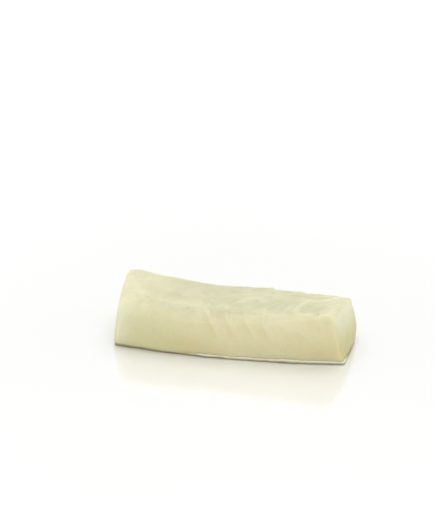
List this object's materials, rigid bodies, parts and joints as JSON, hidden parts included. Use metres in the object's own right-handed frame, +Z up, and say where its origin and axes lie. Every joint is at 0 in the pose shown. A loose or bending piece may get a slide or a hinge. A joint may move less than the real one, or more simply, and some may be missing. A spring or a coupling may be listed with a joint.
{
  "type": "salted dried cod loin",
  "caption": "Thick block of salted cod loin lying on its skin, with cut flesh in front, on top and at both ends.",
  "frame": {"origin": "middle of the box's base, on the surface that the skin rests on", "axes": "+X along the loin to the narrower end, +Y from the cut front face to the back where the skin curls up, +Z up"},
  "size_m": [0.1714, 0.0652, 0.0372],
  "materials": {
    "flesh": "moist cream-white fish flesh with paler seams between its flakes, satin",
    "skin": "mottled olive-brown fish skin outside with a pale cut edge, satin"
  },
  "bodies": {
    "root": {"flesh": "flesh", "skin": "skin"}
  },
  "joints": []
}
